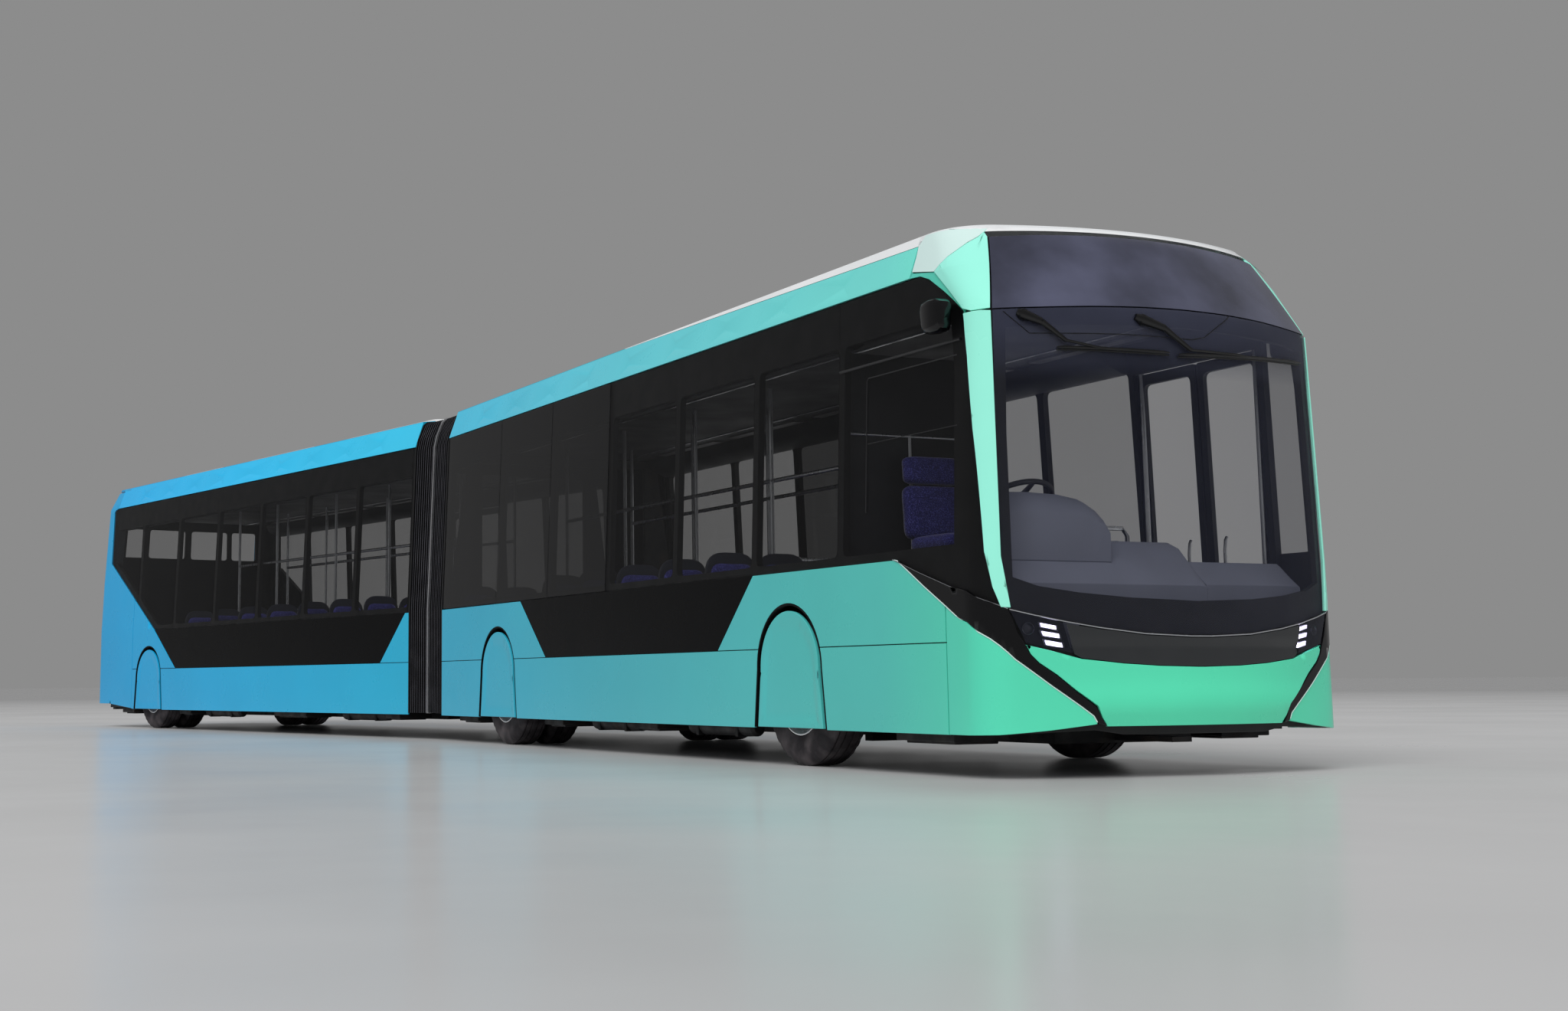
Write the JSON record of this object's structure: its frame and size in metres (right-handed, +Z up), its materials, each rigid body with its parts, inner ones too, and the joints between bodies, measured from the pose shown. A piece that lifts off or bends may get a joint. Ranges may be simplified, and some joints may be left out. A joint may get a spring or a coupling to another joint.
{
  "type": "articulated bus",
  "caption": "Articulated electric city bus, two sections hinged at a bellows, with steered front wheels, turning wheels and double doors that open inwards.",
  "frame": {"origin": "on the ground under the middle of the whole bus's box as it stands, slightly folded", "axes": "+Z up, the nose faces -Y, +X is the front section's left side"},
  "size_m": [4.3113, 18.7753, 3.325],
  "materials": {
    "body_paint": "gloss",
    "roof_paint": "gloss",
    "glass": "polished",
    "door_frame": "gloss",
    "tyre": "matte",
    "rim": "polished",
    "seat_fabric": "woven",
    "handrail": "satin",
    "floor_vinyl": "matte",
    "frame_steel": "satin",
    "bellows_fabric": "ribbed",
    "lamp": "polished",
    "battery_case": "satin",
    "black_gloss": "gloss",
    "cab_plastic": "matte"
  },
  "bodies": {
    "front_section": {"front_right_wall": "body_paint", "front_left_wall": "body_paint", "front_glass": "glass", "front_roof": "roof_paint", "front_floor": "floor_vinyl", "front_underframe": "frame_steel", "front_mask": "body_paint", "front_header": "black_gloss", "windscreen": "glass", "front_axle_beam": "frame_steel", "drive_axle_beam": "frame_steel", "drive_wheel_covers": "body_paint", "turntable_lower": "frame_steel", "bellows": "bellows_fabric", "front_seats": "seat_fabric", "front_handrails": "handrail", "dashboard": "cab_plastic", "steering_wheel": "cab_plastic", "driver_seat": "seat_fabric", "cab_partition": "cab_plastic", "headlamps": "lamp", "wipers": "cab_plastic", "mirror_cameras": "cab_plastic", "front_batteries": "battery_case"},
    "rear_section": {"rear_right_wall": "body_paint", "rear_left_wall": "body_paint", "rear_glass": "glass", "rear_roof": "roof_paint", "rear_floor": "floor_vinyl", "rear_underframe": "frame_steel", "rear_mask": "body_paint", "rear_axle_beam": "frame_steel", "rear_wheel_covers": "body_paint", "rear_seats": "seat_fabric", "rear_handrails": "handrail", "rear_batteries": "battery_case", "turntable_upper": "frame_steel"},
    "steering_knuckle_left": {"knuckle_left": "frame_steel", "front_cover_left": "body_paint"},
    "front_wheel_left": {"front_tyre_left": "tyre", "front_rim_left": "rim"},
    "drive_wheel_left": {"drive_tyre_left": "tyre", "drive_rim_left": "rim"},
    "rear_wheel_left": {"rear_tyre_left": "tyre", "rear_rim_left": "rim"},
    "steering_knuckle_right": {"knuckle_right": "frame_steel", "front_cover_right": "body_paint"},
    "front_wheel_right": {"front_tyre_right": "tyre", "front_rim_right": "rim"},
    "drive_wheel_right": {"drive_tyre_right": "tyre", "drive_rim_right": "rim"},
    "rear_wheel_right": {"rear_tyre_right": "tyre", "rear_rim_right": "rim"},
    "leaf_front_door_fore": {"front_door_leaf_fore": "door_frame"},
    "leaf_front_door_aft": {"front_door_leaf_aft": "door_frame"},
    "leaf_middle_door_fore": {"middle_door_leaf_fore": "door_frame"},
    "leaf_middle_door_aft": {"middle_door_leaf_aft": "door_frame"},
    "leaf_rear_door_fore": {"rear_door_leaf_fore": "door_frame"},
    "leaf_rear_door_aft": {"rear_door_leaf_aft": "door_frame"}
  },
  "joints": [
    {"name": "articulation", "type": "hinge", "parent": "front_section", "child": "rear_section", "pos_m": [0.78072, 0.26902, 0.3], "axis": [0, 0, 1], "range_deg": [-52.88, 31.12], "deforming": ["bellows"]},
    {"name": "steering_left", "type": "hinge", "parent": "front_section", "child": "steering_knuckle_left", "pos_m": [1.78572, -6.92198, 0.478], "axis": [0, 0, 1], "range_deg": [-45, 45]},
    {"name": "front_wheel_spin_left", "type": "hinge", "parent": "steering_knuckle_left", "child": "front_wheel_left", "pos_m": [1.84272, -6.92198, 0.478], "axis": [1, 0, 0], "continuous": true},
    {"name": "drive_wheel_spin_left", "type": "hinge", "parent": "front_section", "child": "drive_wheel_left", "pos_m": [1.69072, -1.72198, 0.478], "axis": [1, 0, 0], "continuous": true},
    {"name": "rear_wheel_spin_left", "type": "hinge", "parent": "rear_section", "child": "rear_wheel_left", "pos_m": [0.30421, 7.5693, 0.478], "axis": [0.982, 0.1888, 0], "continuous": true},
    {"name": "steering_right", "type": "hinge", "parent": "front_section", "child": "steering_knuckle_right", "pos_m": [-0.22428, -6.92198, 0.478], "axis": [0, 0, 1], "range_deg": [-45, 45]},
    {"name": "front_wheel_spin_right", "type": "hinge", "parent": "steering_knuckle_right", "child": "front_wheel_right", "pos_m": [-0.28128, -6.92198, 0.478], "axis": [1, 0, 0], "continuous": true},
    {"name": "drive_wheel_spin_right", "type": "hinge", "parent": "front_section", "child": "drive_wheel_right", "pos_m": [-0.12928, -1.72198, 0.478], "axis": [1, 0, 0], "continuous": true},
    {"name": "rear_wheel_spin_right", "type": "hinge", "parent": "rear_section", "child": "rear_wheel_right", "pos_m": [-1.48308, 7.22577, 0.478], "axis": [0.982, 0.1888, 0], "continuous": true},
    {"name": "front_door_fore", "type": "hinge", "parent": "front_section", "child": "leaf_front_door_fore", "pos_m": [1.97072, -8.60398, 1.3], "axis": [0, 0, 1], "range_deg": [0, 88]},
    {"name": "front_door_aft", "type": "hinge", "parent": "front_section", "child": "leaf_front_door_aft", "pos_m": [1.97072, -7.52998, 1.3], "axis": [0, 0, 1], "range_deg": [-88, 0]},
    {"name": "middle_door_fore", "type": "hinge", "parent": "front_section", "child": "leaf_middle_door_fore", "pos_m": [1.97072, -5.00398, 1.3], "axis": [0, 0, 1], "range_deg": [0, 88]},
    {"name": "middle_door_aft", "type": "hinge", "parent": "front_section", "child": "leaf_middle_door_aft", "pos_m": [1.97072, -3.92998, 1.3], "axis": [0, 0, 1], "range_deg": [-88, 0]},
    {"name": "rear_door_fore", "type": "hinge", "parent": "rear_section", "child": "leaf_rear_door_fore", "pos_m": [1.4346, 3.17162, 1.3], "axis": [0, 0, 1], "range_deg": [0, 88]},
    {"name": "rear_door_aft", "type": "hinge", "parent": "rear_section", "child": "leaf_rear_door_aft", "pos_m": [1.23188, 4.22631, 1.3], "axis": [0, 0, 1], "range_deg": [-88, 0]}
  ],
  "couplings": [
    {"joint": "steering_right", "follows": "steering_left", "ratio": 1},
    {"joint": "front_door_aft", "follows": "front_door_fore", "ratio": -1},
    {"joint": "middle_door_aft", "follows": "middle_door_fore", "ratio": -1},
    {"joint": "rear_door_aft", "follows": "rear_door_fore", "ratio": -1}
  ]
}
